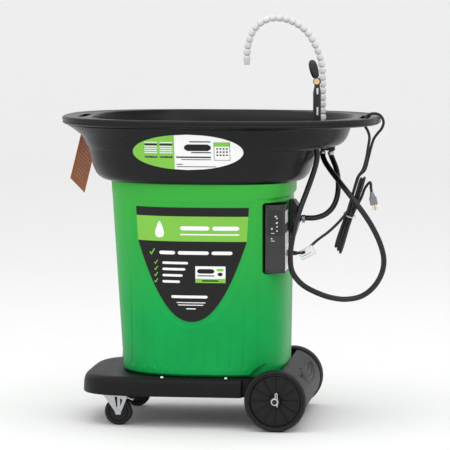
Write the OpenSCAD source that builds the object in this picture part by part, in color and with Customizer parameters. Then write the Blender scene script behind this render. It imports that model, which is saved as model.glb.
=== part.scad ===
// Mobile parts washer: an oval sink with a segmented spout and a flow-through brush,
// on a fluid tank, on a dolly with two large wheels and two swivel casters.
// Frame: origin on the floor under the middle of the sink's rim. +X points to the end
// with the large wheels, -Y to the front with the labels, +Z up. Millimetres.

/* [Sink] */
// Length of the rim over both handles
rim_l = 932; // [928:2:936]
// Width of the rim, front to back
rim_w = 624; // [620:2:630]
// Height of the rim above the floor
rim_z = 890; // [888:1:892]
// Height of the sink's underside, which rests on the tank
sink_z = 704; // [703:1:705]
// Height of the underside of the spout shelf
shelf_z = 800; // [799:1:801]
// Wall of the moulded sink
sink_t = 7; // [6:1:8]
// Width of a handle slot
slot_w = 28; // [24:2:30]
// Length of a handle slot
slot_l = 150; // [130:10:160]

/* [Tank] */
// Height of the tank's floor, on the dolly's deck
tank_z = 146; // [146:1:146]
// Wall of the moulded tank
tank_t = 6; // [5:1:7]
// Number of flutes on the front, and on the back
flutes = 11; // [9:1:12]
// Radius of a flute's cutter
flute_r = 7; // [6:0.5:8]
// Depth of a flute
flute_d = 2.4; // [1.5:0.1:2.8]

/* [Dolly] */
// Half width of the dolly's deck
dolly_hy = 252; // [248:1:254]
// Height of the skirt's lower edge
skirt_z = 92; // [90:1:94]
// Wall of the moulded dolly
dolly_t = 6; // [5:1:7]
// Radius of the heel round the axle
heel_r = 84; // [82:1:86]

/* [Wheels] */
// Radius of a large wheel, over the tyre
wheel_r = 89; // [87:1:90]
// Width of a large wheel
wheel_w = 38; // [34:1:40]
// Distance of a large wheel's middle from the centre plane
wheel_y = 270; // [269:1:271]
// X position of the axle
axle_x = 186; // [185:1:187]
// Radius of the axle rod
axle_r = 6.35; // [6:0.05:6.5]
// Radius of a caster wheel
caster_r = 40; // [38:1:40]
// Width of a caster wheel
caster_w = 26; // [24:1:28]
// X position of a caster's swivel
swivel_x = -304; // [-305:1:-303]
// Distance of a caster from the centre plane
caster_y = 185; // [184:1:186]
// Trail of a caster: swivel to wheel axle
trail = 25; // [23:1:27]

/* [Spout] */
// Distance between two beads of the spout
pitch = 19.6; // [19.4:0.1:19.8]
// Largest radius of a bead
bead_r = 10.2; // [9.8:0.1:10.4]
// X position of the spout's column
spout_x = 292; // [291:1:293]
// Y position of the spout's column
spout_y = 40; // [38:1:42]

/* [Control box] */
// Height of the box's lower end
box_z = 448; // [448:1:450]
// Height of the box
box_h = 196; // [192:1:198]
// Width of the box, along X
box_w = 56; // [54:1:56]
// Depth of the box, along Y
box_d = 104; // [100:1:106]

/* [Hidden] */

$fn = 48;
gap = 0.3;            // room between pieces that only sit side by side
run = 0.06;           // radial clearance of a turning fit
far = 1000;           // longer than any cut needs
ring_n = 60;          // points on a moulded outline
rim_n = 2.6;          // how square the sink's plan is: 2 is an ellipse

black = [0.10, 0.10, 0.11];
grey = [0.28, 0.28, 0.30];
green = [0.05, 0.68, 0.30];
lime = [0.45, 0.78, 0.25];
steel = [0.72, 0.73, 0.75];
milk = [0.88, 0.88, 0.87];
rust = [0.72, 0.30, 0.16];

// ---- moulded outlines ----
function spow(v, e) = sign(v) * pow(abs(v), e);
// One level of a moulding: [height, left end, right end, half width], and where they are
// needed [squareness of the right end, X of the widest place]. nl and nr set how square
// the left and right ends are, and grow moves the outline out.
function middle(s) = is_undef(s[5]) ? (s[1] + s[2]) / 2 : s[5];
function outline(s, nl, nr, grow) = [for (i = [0:ring_n - 1])
    let (t = 360 * i / ring_n, left = cos(t) < 0, n = left ? nl : is_undef(s[4]) ? nr : s[4],
        a = (left ? middle(s) - s[1] : s[2] - middle(s)) + grow, b = s[3] + grow)
    [middle(s) + a * spow(cos(t), 2 / n), b * spow(sin(t), 2 / n), s[0]]];

module loft(levels, nl, nr, grow = 0) {
    k = len(levels);
    n = ring_n;
    polyhedron(
        points = [for (s = levels) each outline(s, nl, nr, grow)],
        faces = concat(
            [[for (i = [0:n - 1]) i]],
            [for (j = [0:k - 2], i = [0:n - 1])
                [j * n + i, (j + 1) * n + i, (j + 1) * n + (i + 1) % n, j * n + (i + 1) % n]],
            [[for (i = [n - 1:-1:0]) (k - 1) * n + i]]));
}

// A disc or rod along Y between two Y values
module rod_y(x, z, r, y0, y1) {
    translate([x, y1, z]) rotate([90, 0, 0]) cylinder(r = r, h = y1 - y0);
}
// A rod along X between two X values
module rod_x(y, z, r, x0, x1) {
    translate([x0, y, z]) rotate([0, 90, 0]) cylinder(r = r, h = x1 - x0);
}
// A box given by its low and high corners
module block(lo, hi) {
    translate(lo) cube([hi[0] - lo[0], hi[1] - lo[1], hi[2] - lo[2]]);
}
// A copy on the other side of the centre plane as well
module both_sides() {
    children();
    mirror([0, 1, 0]) children();
}

// ---- sink ----
wide_x = -51;         // where the bowl is widest
sink_levels = [
    [sink_z, -320, 228, 238, 2.6, wide_x], [sink_z + 5, -346, 244, 250, 2.6, wide_x],
    [sink_z + 18, -364, 256, 258, 2.6, wide_x], [sink_z + 42, -374, 264, 265, 2.6, wide_x],
    [shelf_z - 1, -386, 284, 277, 2.6, wide_x], [shelf_z, -388, 328, 278, 2.32, wide_x],
    [shelf_z + 5, -390, 346, 279, 2.25, wide_x], [shelf_z + 22, -399, 362, 282, 2.25, wide_x],
    [shelf_z + 44, -420, 373, 287, 2.3, wide_x], [rim_z - 24, -450, 382, 295, 2.4, wide_x],
    [rim_z - 22, 8 - rim_l / 2, rim_l / 2 - 12, rim_w / 2 - 9],
    [rim_z - 18, 2 - rim_l / 2, rim_l / 2 - 2, rim_w / 2 - 2],
    [rim_z - 12, -rim_l / 2, rim_l / 2, rim_w / 2],
    [rim_z - 5, 2 - rim_l / 2, rim_l / 2 - 2, rim_w / 2 - 2],
    [rim_z, 10 - rim_l / 2, rim_l / 2 - 10, rim_w / 2 - 10]];
bowl_levels = [
    [sink_z + sink_t, -312, 220, 229, 2.6, wide_x], [sink_z + sink_t + 5, -336, 236, 242, 2.6, wide_x],
    [sink_z + sink_t + 18, -354, 248, 250, 2.6, wide_x],
    [sink_z + sink_t + 41, -363, 256, 257, 2.6, wide_x],
    [shelf_z + sink_t - 3, -370, 276, 268, 2.6, wide_x],
    [shelf_z + sink_t, -371, 320, 269, 2.32, wide_x],
    [shelf_z + sink_t + 5, -371, 338, 270, 2.25, wide_x],
    [shelf_z + sink_t + 22, -372, 354, 273, 2.25, wide_x],
    [shelf_z + sink_t + 44, -373, 365, 277, 2.3, wide_x],
    [rim_z - 18, -374, 372, 283, 2.4, wide_x],
    [rim_z - 6, -375, 380, 288, 2.5, wide_x], [rim_z + 1, -377, 386, 293, 2.5, wide_x]];
slot_left_x = -404;
slot_right_x = 420;
drain_r = 44;
drain_x = -60;
brush_x = 287;
brush_y = -90;
hole_r = 11;
boss_r = 18;
shelf_top = shelf_z + sink_t;

module handle_slot(x) {
    r = slot_w / 2;
    y = slot_l / 2 - r;
    translate([x, 0, sink_z]) {
        for (s = [-1, 1]) translate([0, s * y, 0]) cylinder(r = r, h = far);
        translate([-r, -y, 0]) cube([slot_w, 2 * y, far]);
    }
}

module sink_basin() {
    color(black) difference() {
        union() {
            difference() {
                loft(sink_levels, rim_n, rim_n);
                loft(bowl_levels, rim_n, rim_n);
            }
            for (p = [[spout_x, spout_y], [brush_x, brush_y]])
                translate([p[0], p[1], shelf_z - 1]) cylinder(r = boss_r, h = sink_t + 5);
        }
        handle_slot(slot_left_x);
        handle_slot(slot_right_x);
        translate([drain_x, 0, sink_z - 1]) cylinder(r = drain_r, h = sink_t + 2);
        for (p = [[spout_x, spout_y], [brush_x, brush_y]])
            translate([p[0], p[1], shelf_z - 2]) cylinder(r = hole_r, h = sink_t + 8);
    }
}

label_t = 0.8;

// A decal that follows the front of a moulding: what its outline's prism cuts out of a skin
module decal(levels, nl, nr) {
    intersection() {
        difference() {
            loft(levels, nl, nr, label_t + 0.05);
            loft(levels, nl, nr, 0.05);
        }
        rotate([90, 0, 0]) linear_extrude(height = far) children();
    }
}

module sink_label() {
    color("white") decal([for (i = [3:8]) sink_levels[i]], rim_n, rim_n)
        translate([-66, 799]) scale([159, 51]) circle(r = 1, $fn = 64);
}

// The floor of the bowl: a lift-out tray with drain slots, on a filter mat, on a grid
tray_z = 764;
tray_t = 6;
tray_level = [tray_z, -355, 250, 250];
slot_pitch = 44;
slot_rows = 4;

module drain_slots() {
    for (i = [-4:4], j = [-slot_rows / 2 + 0.5:slot_rows / 2 - 0.5])
        translate([drain_x + i * slot_pitch, j * 76, 0]) {
            translate([-3, -20, 0]) cube([6, 40, far]);
            for (s = [-20, 20]) translate([0, s, 0]) cylinder(r = 3, h = far);
        }
}

module false_bottom() {
    color(black) difference() {
        loft([tray_level, [tray_z + tray_t, -356, 251, 251]], rim_n, rim_n);
        translate([0, 0, tray_z - 1]) drain_slots();
    }
}

module filter_mat() {
    color(milk) loft([[745, -345, 240, 238], [757, -345, 240, 238]], rim_n, rim_n);
}

// Half length of a grid bar: the bowl's half width there, less some room
function bar_y(x) = 222 * pow(1 - pow(abs(x - wide_x) / (x < wide_x ? 306 : 300), 2.6), 1 / 2.6);

module mat_support_grid() {
    color(grey) {
        for (x = [-302:52:166]) block([x - 2, -bar_y(x), 724], [x + 2, bar_y(x), 744.7]);
        for (y = [-142, 138]) block([-302, y, 724], [168, y + 4, 736]);
        for (x = [-212, 112], y = [-140, 140]) translate([x, y, sink_z + sink_t + 0.1])
            cylinder(r = 8, h = 20);
    }
}

// ---- tank ----
tank_nl = 2.4;
tank_nr = 3.6;
tank_levels = [
    [tank_z, -276, 188, 214], [tank_z + 4, -283, 195, 221], [tank_z + 14, -287, 198, 226],
    [sink_z - 46, -319, 206, 238], [sink_z - 38, -320, 213, 240], [sink_z, -322, 214, 240]];
cavity_levels = [
    [tank_z + tank_t, -274, 186, 212], [tank_z + 18, -281, 192, 220],
    [sink_z - 46, -313, 200, 232], [sink_z + 1, -316, 206, 234]];
notch_x = 141;
notch_y = -88;
arch_r = 104;
arch_y = 190;
arch_z = wheel_r;
port_y = -40;
port_z = 594;
port_r = 9;

module box_notch(grow) {
    block([notch_x - grow, -far, box_z - 3 - grow],
        [far, notch_y + grow, box_z + box_h + 6 + grow]);
}

module wheel_arches(grow) {
    both_sides() rod_y(axle_x, arch_z, arch_r + grow, arch_y - grow, far);
}

// Height at which each flute starts: the flutes reach up on both sides of the tank label
function flute_x(i) = -242 + i * 372 / (flutes - 1);
function flute_top(i) = 252 + 200 * pow(abs(i - (flutes - 1) / 2) / ((flutes - 1) / 2), 1.9);
// Half width of the tank at a place along X, near the foot and near the shoulder
function tank_y(x, s) = let (mid = (s[1] + s[2]) / 2, a = (s[2] - s[1]) / 2,
    n = x < mid ? tank_nl : tank_nr) s[3] * pow(1 - pow(abs(x - mid) / a, n), 1 / n);

module flute_cuts() {
    foot = tank_levels[2];
    top = tank_levels[3];
    for (i = [0:flutes - 1]) let (x = flute_x(i), z0 = tank_z + 16, z1 = flute_top(i),
        y0 = tank_y(x, foot), y1 = tank_y(x, top), lean = atan((y1 - y0) / (top[0] - foot[0])))
        both_sides() translate([x, -(y0 + flute_r - flute_d), z0]) rotate([lean, 0, 0])
            cylinder(r = flute_r, h = z1 - z0, $fn = 24);
}

module tank_shell() {
    color(green) difference() {
        loft(tank_levels, tank_nl, tank_nr);
        difference() {
            loft(cavity_levels, tank_nl, tank_nr);
            box_notch(tank_t);
            wheel_arches(tank_t);
        }
        box_notch(0);
        wheel_arches(0);
        flute_cuts();
        rod_x(port_y, port_z, port_r, 150, 300);
        rod_x(drain_y, drain_z, drain_hole_r, -400, -200);
    }
}

module tank_label() {
    color(lime) decal([tank_levels[2], tank_levels[3]], tank_nl, tank_nr)
        translate([-61, 0]) polygon(concat(
            [[166, 638], [-166, 638], [-166, 612], [-162, 540]],
            [for (x = [-160:16:160]) [x, 307 + 233 * pow(abs(x) / 160, 2.1)]],
            [[162, 540], [166, 612]]));
}

drain_y = 60;
drain_z = 176;
drain_hole_r = 13;

module drain_plug() {
    color(black) {
        rod_x(drain_y, drain_z, drain_hole_r - 0.05, -296, -270);
        rod_x(drain_y, drain_z, 19, -302, -290.5);
    }
}

module tank_rivets() {
    color("white") both_sides() for (x = [-145, 40]) translate([x, -242, tank_z + 0.1]) {
        cylinder(r = 4.5, h = 3);
        translate([0, 0, 3]) cylinder(r1 = 4.5, r2 = 2.5, h = 1.5);
    }
}

// ---- dolly ----
dolly_nl = 4.2;
dolly_levels = [
    [skirt_z, -395, 240, dolly_hy - 2], [tank_z - 20, -393, 240, dolly_hy],
    [tank_z - 9, -389, 240, dolly_hy - 3], [tank_z - 3, -382, 240, dolly_hy - 9],
    [tank_z, -372, 240, dolly_hy - 18]];
well_x = 84;
well_y = 236;
heel_x = 202;
deck_t = 8;
pad_z = 106;

pad_lo = [-130, -70, skirt_z - 2];
pad_hi = [10, 70, tank_z - deck_t + 1];
plate_x = 23;         // half distances between a caster plate's bolts
plate_y = 18;

// Rounded end over the axle, with webs for the axle
module heel() {
    intersection() {
        union() {
            difference() {
                rod_y(axle_x, wheel_r, heel_r, -well_y, well_y);
                rod_y(axle_x, wheel_r, heel_r - dolly_t, -far, far);
            }
            for (y = [-well_y, -113, 107, well_y - dolly_t])
                rod_y(axle_x, wheel_r, heel_r, y, y + dolly_t);
        }
        union() {
            block([heel_x, -far, 58], [far, far, far]);
            block([axle_x - 24, -far, 58], [far, far, skirt_z + 5]);
        }
    }
    for (y = [-well_y, -113, 107, well_y - dolly_t])
        rod_y(axle_x, wheel_r, 22, y, y + dolly_t);
    for (k = [0:2]) heel_ridge(k);
}

module dolly_base() {
    color(black) difference() {
        union() {
            difference() {
                loft(dolly_levels, dolly_nl, 8);
                difference() {
                    loft([[skirt_z - 1, -395, 240, dolly_hy - 2],
                        [tank_z - deck_t, -389, 240, dolly_hy - 3]], dolly_nl, 8, -dolly_t);
                    both_sides() block([well_x - dolly_t, well_y - dolly_t, 0], [far, far, far]);
                }
            }
            difference() {
                block(pad_lo, pad_hi);
                block(pad_lo + [dolly_t, dolly_t, dolly_t], pad_hi - [dolly_t, dolly_t, -1]);
            }
            heel();
            both_sides() translate([swivel_x, caster_y, pad_z]) {
                cylinder(r = 20, h = tank_z - deck_t - pad_z + 1);
                for (x = [-plate_x, plate_x], y = [-plate_y, plate_y]) translate([x, y, 0])
                    cylinder(r = 7, h = tank_z - deck_t - pad_z + 1);
            }
        }
        both_sides() block([well_x, well_y, 0], [far, far, far]);
        rod_y(axle_x, wheel_r, axle_r + 0.02, -300, 300);
        both_sides() translate([swivel_x, caster_y, 0]) cylinder(r = 5.2, h = tank_z - 10);
    }
}

// A raised tread rib on the heel
module heel_ridge(k) {
    a = 38 + k * 13;
    translate([axle_x, 0, wheel_r]) rotate([0, -a, 0]) translate([heel_r - 1, -120, -1.6])
        cube([3.5, 240, 3.2]);
}

module rear_axle() {
    color(steel) rod_y(axle_x, wheel_r, axle_r, -302, 302);
}

module axle_spacers() {
    color(milk) both_sides() difference() {
        rod_y(axle_x, wheel_r, 12, well_y + gap, wheel_y - wheel_w / 2 - 1 - gap);
        rod_y(axle_x, wheel_r, axle_r + 0.02, 0, 400);
    }
}

// ---- large wheels ----
hub_r = 79;
rib_n = 12;

module wheel_tyre_shape() {
    w = wheel_w / 2;
    rotate([90, 0, 0]) rotate_extrude($fn = 96) polygon([[hub_r + gap / 3, -w + 4],
        [wheel_r - 6, -w], [wheel_r - 2.5, -w + 4], [wheel_r, -w + 10], [wheel_r, w - 10],
        [wheel_r - 2.5, w - 4], [wheel_r - 6, w], [hub_r + gap / 3, w - 4]]);
}

module wheel_hub_shape() {
    w = wheel_w / 2;
    rotate([90, 0, 0]) {
        rotate_extrude($fn = 96) polygon([[axle_r + run, -w - 1], [16, -w - 1], [17, -w + 3],
            [20, -4], [71, -4], [75, -w + 5], [hub_r, -w + 4], [hub_r, w - 4], [75, w - 5],
            [71, 4], [20, 4], [17, w - 3], [16, w + 1], [axle_r + run, w + 1]]);
        for (i = [0:rib_n - 1], s = [-1, 1]) rotate([0, 0, i * 360 / rib_n])
            translate([18, -1.2, s > 0 ? 3.9 : -w + 9]) cube([55, 2.4, w - 12.9]);
    }
}

module near_wheel_tyre() {
    color(black) translate([axle_x, -wheel_y, wheel_r]) wheel_tyre_shape();
}
module near_wheel_hub() {
    color(black) translate([axle_x, -wheel_y, wheel_r]) wheel_hub_shape();
}
module far_wheel_tyre() {
    color(black) translate([axle_x, wheel_y, wheel_r]) wheel_tyre_shape();
}
module far_wheel_hub() {
    color(black) translate([axle_x, wheel_y, wheel_r]) wheel_hub_shape();
}

// A washer and a hairpin clip hold each wheel on the axle
module wheel_retainers() {
    y0 = wheel_y + wheel_w / 2 + 1.4;
    color(steel) both_sides() {
        difference() {
            rod_y(axle_x, wheel_r, 10.5, y0, y0 + 2);
            rod_y(axle_x, wheel_r, axle_r + 0.05, 0, 400);
        }
        translate([axle_x, y0 + 5.2, wheel_r]) rotate([90, 0, 0])
            rotate_extrude() translate([axle_r + 1.4, 0]) circle(r = 1.3, $fn = 16);
        translate([axle_x + 2, y0 + 5.2, wheel_r + axle_r + 1.4]) cylinder(r = 1.3, h = 20.6 - axle_r);
        translate([axle_x + 7.7, y0 + 5.2, wheel_r - 14]) cylinder(r = 1.3, h = 36);
        translate([axle_x + 4.85, y0 + 5.2, wheel_r + 22]) rotate([90, 0, 0])
            rotate_extrude(angle = 180) translate([2.85, 0]) circle(r = 1.3, $fn = 16);
    }
}

// ---- casters ----
axle_z = caster_r;
wheel_cx = swivel_x + trail;
crown_z = skirt_z - 2.5;    // top of the fork, which swings under the skirt

module caster_fork_shape() {
    in_y = caster_w / 2 + 2;
    leg_t = 2.5;
    translate([swivel_x, 0, crown_z - 0.5]) cylinder(r1 = 17, r2 = 24, h = pad_z - crown_z - 2.7);
    translate([swivel_x, 0, crown_z - 3]) cylinder(r = 5.11, h = 36);
    block([swivel_x - 18, -in_y - leg_t, crown_z - 4.5], [swivel_x + 36, in_y + leg_t, crown_z]);
    for (s = [-1, 1]) translate([0, s * (in_y + leg_t / 2) + leg_t / 2, 0]) rotate([90, 0, 0])
        linear_extrude(height = leg_t) difference() {
            polygon([[swivel_x - 18, crown_z - 0.5], [swivel_x + 50, crown_z - 0.5], [swivel_x + 50, 78],
                [wheel_cx + 11, axle_z + 3], [wheel_cx + 7, axle_z - 9], [wheel_cx - 7, axle_z - 9],
                [wheel_cx - 10, axle_z + 1], [swivel_x - 12, 80]]);
            polygon([[wheel_cx - 10, 83], [wheel_cx - 2, 83], [wheel_cx - 2, axle_z + 13],
                [wheel_cx - 5, axle_z + 13]]);
            polygon([[wheel_cx + 6, 80], [wheel_cx + 13, 74], [wheel_cx + 7, axle_z + 15]]);
            translate([brake_x, brake_z]) circle(r = 3 + run);
        }
    rod_y(wheel_cx, axle_z, 4, -in_y - leg_t - 3, in_y + leg_t + 3);
    for (s = [-1, 1]) translate([wheel_cx, s * (in_y + leg_t + 1.9), axle_z]) rotate([90, 0, 0])
        cylinder(r = 7.5, h = 3.6, center = true, $fn = 6);
}

module caster_wheel_shape() {
    w = caster_w / 2;
    translate([wheel_cx, 0, axle_z]) rotate([90, 0, 0]) rotate_extrude($fn = 72)
        polygon([[4 + run, -w - 1], [10, -w - 1], [11, -w + 3], [26, -w + 3], [29, -w],
            [caster_r - 3, -w], [caster_r, -w + 4], [caster_r, w - 4], [caster_r - 3, w], [29, w],
            [26, w - 3], [11, w - 3], [10, w + 1], [4 + run, w + 1]]);
}

module near_caster_fork() {
    color(steel) translate([0, -caster_y, 0]) caster_fork_shape();
}
module far_caster_fork() {
    color(steel) translate([0, caster_y, 0]) caster_fork_shape();
}
module near_caster_wheel() {
    color(black) translate([0, -caster_y, 0]) caster_wheel_shape();
}
module far_caster_wheel() {
    color(black) translate([0, caster_y, 0]) caster_wheel_shape();
}

brake_x = swivel_x + 45;
brake_z = 84;

// Foot pedal of the wheel lock, on a pin behind the fork's crown
module near_caster_brake() {
    color(steel) translate([brake_x, -caster_y, brake_z]) {
        rod_y(0, 0, 3, -19, 19);
        rod_y(0, 0, 4, -14.5, 14.5);
        rotate([0, 24, 0]) block([2, -13, -1.5], [24, 13, 1.5]);
        rotate([0, 24, 0]) block([22, -13, -1.5], [25, 13, 4]);
    }
}

module caster_plates() {
    color(steel) both_sides() translate([swivel_x, caster_y, 0]) {
        difference() {
            translate([-plate_x - 8, -plate_y - 7, pad_z - 2.7])
                cube([2 * plate_x + 16, 2 * plate_y + 14, 2.5]);
            cylinder(r = 5.2, h = far);
        }
        for (x = [-plate_x, plate_x], y = [-plate_y, plate_y])
            translate([x * 1.12, y * 1.1, pad_z - 5.2]) cylinder(r = 4, h = 2.6, $fn = 6);
    }
}

// ---- spout: a string of ball-and-socket beads ----
ball_r = 7.7;
cup_r = 7.9;
neck_r = 5;
flow_r = 3.6;
spout_z = shelf_top + 71;
// How far each bead turns from the one before it
turns = [0, 0, 0, 0, 0, 0, 0, 6, 6, 6, 5, 5, 5, 9, 9, 9, 9, 9, 9, 14, 14, 14, 14, 14, 7, 7, 7, 2];
function heading(i) = i < 0 ? 0 : heading(i - 1) + turns[i];
// Centre of the joint below bead i, in the spout's plane
function joint_at(i) = i == 0 ? [spout_x, spout_z] :
    joint_at(i - 1) + pitch * [-sin(heading(i - 1)), cos(heading(i - 1))];

// The part of a ball that shows above and below its middle, up to a share of its radius
module ball_slice(r, low, high) {
    intersection() {
        sphere(r = r);
        translate([0, 0, low * r]) cylinder(r = 2 * r, h = (high - low) * r);
    }
}

module bead() {
    difference() {
        union() {
            rotate_extrude() polygon([[0, -2.6], [9.2, -2.6], [bead_r, 0.5], [bead_r, 8],
                [9.2, 11.5], [7.4, 13.6], [neck_r, 14], [neck_r, pitch - 4], [0, pitch - 4]]);
            translate([0, 0, pitch]) ball_slice(ball_r, -0.77, 0.77);
        }
        sphere(r = cup_r);
        cylinder(r = flow_r, h = 2 * pitch);
    }
}

module beads(first, last) {
    color(milk) for (i = [first:last]) let (p = joint_at(i))
        translate([p[0], spout_y, p[1]]) rotate([0, -heading(i), 0]) bead();
}

module nozzle_base() {
    color(milk) translate([spout_x, spout_y, 0]) difference() {
        union() {
            translate([0, 0, shelf_top + 5.3]) cylinder(r = 15, h = 8, $fn = 6);
            translate([0, 0, shelf_top + 13]) cylinder(r = 9, h = spout_z - shelf_top - 15);
            translate([0, 0, spout_z]) ball_slice(ball_r, -0.77, 0.77);
        }
        translate([0, 0, shelf_top]) cylinder(r = flow_r, h = 80);
    }
    beads(0, 6);
}
module nozzle_lower() { beads(7, 12); }
module nozzle_middle() { beads(13, 17); }
module nozzle_upper() { beads(18, 23); }
module nozzle_tip() {
    beads(24, 26);
    p = joint_at(27);
    color(milk) translate([p[0], spout_y, p[1]]) rotate([0, -heading(27), 0]) difference() {
        rotate_extrude() polygon([[0, -2.6], [9.2, -2.6], [bead_r, 0.5], [9.4, 12], [8, 22], [0, 22]]);
        sphere(r = cup_r);
        cylinder(r = flow_r, h = 2 * pitch);
    }
}

// Block under the shelf that feeds the spout and the brush hose
barb_z = shelf_z - 30;
supply_x = spout_x + 24;

module hose_manifold() {
    color(black) difference() {
        union() {
            block([spout_x - 6, spout_y - 13, shelf_z - 14], [supply_x + 12, spout_y + 13, shelf_z - 1.4]);
            for (x = [spout_x, supply_x]) translate([x, spout_y, barb_z]) cylinder(r = 5.4, h = 17);
            translate([spout_x, spout_y, shelf_z - 2]) cylinder(r = hole_r - gap, h = sink_t + 7);
        }
        translate([spout_x, spout_y, barb_z - 1]) cylinder(r = 3, h = 60);
        translate([supply_x, spout_y, barb_z - 1]) cylinder(r = 3, h = 24);
        rod_x(spout_y, shelf_z - 8, 3, spout_x, supply_x);
    }
}

// ---- flow-through brush, parked upright in its shelf hole ----
handle_r = 11.5;
hose_r = 8;
brush_z = shelf_top + 26;

module brush_grommet() {
    color(grey) translate([brush_x, brush_y, shelf_top + 4.3]) difference() {
        cylinder(r1 = 17, r2 = 14, h = 21.4);
        translate([0, 0, -1]) cylinder(r = hole_r, h = 30);
    }
}

// The handle ends in a round lug that carries the brass nut and the brush head
lug_z = 161;
head_lean = 15;

module brush_handle() {
    color(black) translate([brush_x, brush_y, brush_z]) difference() {
        union() {
            cylinder(r1 = 10, r2 = handle_r, h = 20);
            translate([0, 0, 20]) cylinder(r = handle_r, h = 110);
            translate([0, 0, 130]) cylinder(r1 = handle_r, r2 = 7.8, h = 18);
            translate([0, 0, 148]) cylinder(r = 7.8, h = 8);
            rod_y(0, lug_z, 11, -8, 8);
        }
        translate([-1, -20, 64]) cube([6, 10.4, 24]);
        translate([-1, -20, 124]) cube([6, 10.4, 18]);
        translate([0, 0, -1]) cylinder(r = hose_r + gap, h = 62);
        translate([0, 0, 60]) cylinder(r = 4, h = lug_z - 60);
        rod_y(0, lug_z, 4, -9, -1);
        translate([0, 0, lug_z]) rotate([0, -head_lean, 0]) cylinder(r = 5, h = 20);
    }
}

module brush_nut() {
    color([0.85, 0.78, 0.55]) translate([brush_x, brush_y, brush_z]) {
        difference() {
            rod_y(0, lug_z, 8.5, -12.5, -8.1);
            rod_y(0, lug_z, 4.5, -14, -11.3);
        }
        rod_y(0, lug_z, 3.95, -9, -3.5);
    }
}

// Slim brush head, leaning to the bowl, with its stem in the lug
module brush_head() {
    color(black) translate([brush_x, brush_y, brush_z + lug_z]) rotate([0, -head_lean, 0]) {
        translate([0, 0, 5]) cylinder(r = 4.95, h = 8);
        rotate_extrude() polygon([[0, 11.3], [8, 11.3], [10.5, 16], [12.6, 28], [13, 42],
            [11.8, 52], [8.5, 60], [4, 63.5], [0, 64]]);
    }
}

// ---- control box ----
box_x = 149;
box_y = -200;
cover_t = 5;
box_t = 3;

module control_box_case() {
    lo = [box_x, box_y + cover_t + 1.5, box_z];
    hi = [box_x + box_w, box_y + box_d, box_z + box_h];
    color(black) difference() {
        block(lo, hi);
        block(lo + [box_t, -1, box_t], hi - [box_t, box_t, box_t]);
        rod_x(gland_y, gland_z, gland_r - 3, box_x + 20, box_x + 100);
        for (p = screw_places) rod_y(p[0], p[1], 1.6, box_y, box_y + 30);
    }
    color(black) for (p = screw_places) difference() {
        block([p[0] - 3.5, box_y + 6.5, p[1] - 3.5], [p[0] + 3.5, box_y + box_d - 1, p[1] + 3.5]);
        rod_y(p[0], p[1], 1.6, box_y, box_y + 30);
    }
}

screw_places = [for (x = [box_x + 6.5, box_x + box_w - 6.5],
    z = [box_z + 6.5, box_z + box_h - 6.5]) [x, z]];
button_r = 4;
power_z = box_z + box_h - 42;
mode_z = box_z + box_h - 62;
button_x = box_x + 16;

module control_box_cover() {
    color(grey) difference() {
        block([box_x, box_y, box_z], [box_x + box_w, box_y + cover_t, box_z + box_h]);
        for (p = screw_places) {
            rod_y(p[0], p[1], 1.6, box_y - 1, box_y + 10);
            rod_y(p[0], p[1], 3, box_y - 1, box_y + 2);
        }
        for (z = [power_z, mode_z]) rod_y(button_x, z, button_r + 0.4, box_y - 1, box_y + 10);
    }
}

module cover_gasket() {
    y = box_y + cover_t + 0.05;
    color(black) difference() {
        block([box_x + 0.5, y, box_z + 0.5], [box_x + box_w - 0.5, y + 1.4, box_z + box_h - 0.5]);
        block([box_x + 10.5, y - 1, box_z + 10.5], [box_x + box_w - 10.5, y + 3, box_z + box_h - 10.5]);
        for (p = screw_places) rod_y(p[0], p[1], 1.6, box_y, box_y + 30);
    }
}

module cover_screws() {
    color(steel) for (p = screw_places) {
        rod_y(p[0], p[1], 2.9, box_y + 0.2, box_y + 1.9);
        rod_y(p[0], p[1], 1.55, box_y + 1, box_y + 18);
    }
}

module keypad_panel() {
    color([0.20, 0.20, 0.21]) difference() {
        block([box_x + 6, box_y - 0.8, box_z + 108], [box_x + box_w - 6, box_y - 0.05, box_z + box_h - 14]);
        for (z = [power_z, mode_z]) rod_y(button_x, z, button_r + 0.4, box_y - 2, box_y + 1);
        for (z = light_zs) rod_y(light_x, z, 2.1, box_y - 2, box_y + 1);
    }
}

light_x = box_x + 34;
light_zs = [for (k = [0:3]) power_z + 4 - k * 12];

module status_lights() {
    color([0.95, 0.97, 0.9]) for (z = light_zs) rod_y(light_x, z, 2, box_y - 1, box_y - 0.1);
}

module push_button(z) {
    rod_y(button_x, z, button_r, box_y - 2.4, box_y + 5.5);
    rod_y(button_x, z, button_r + 1.5, box_y + 6.2, box_y + 8);
    rod_y(button_x, z, 2, box_y + 5, box_y + 7);
}
module power_button() { color("white") push_button(power_z); }
module mode_button() { color("white") push_button(mode_z); }

module circuit_board() {
    y = box_y + 26;
    color([0.05, 0.35, 0.20]) block([box_x + 11, y, box_z + 20], [box_x + box_w - 11, y + 1.6, box_z + 176]);
    color(grey) for (z = [box_z + 40, box_z + 80, box_z + 120])
        block([box_x + 18, y + 1.6, z], [box_x + 36, y + 14, z + 24]);
}

gland_y = -120;
gland_z = 499;
gland_r = 9;

module cord_gland() {
    color(black) difference() {
        union() {
            rod_x(gland_y, gland_z, gland_r - 3.02, box_x + box_w - 6, box_x + box_w + 3);
            rod_x(gland_y, gland_z, gland_r, box_x + box_w + 0.05, box_x + box_w + 6);
            translate([box_x + box_w + 6, gland_y, gland_z]) rotate([0, 90, 0])
                cylinder(r1 = 8, r2 = 5.5, h = 22);
        }
        rod_x(gland_y, gland_z, cord_r, box_x, box_x + 100);
    }
}

// ---- pump, riser, heater and float in the tank ----
pump_x = 90;
pump_y = 60;
pump_z = tank_z + tank_t + 12;

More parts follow.
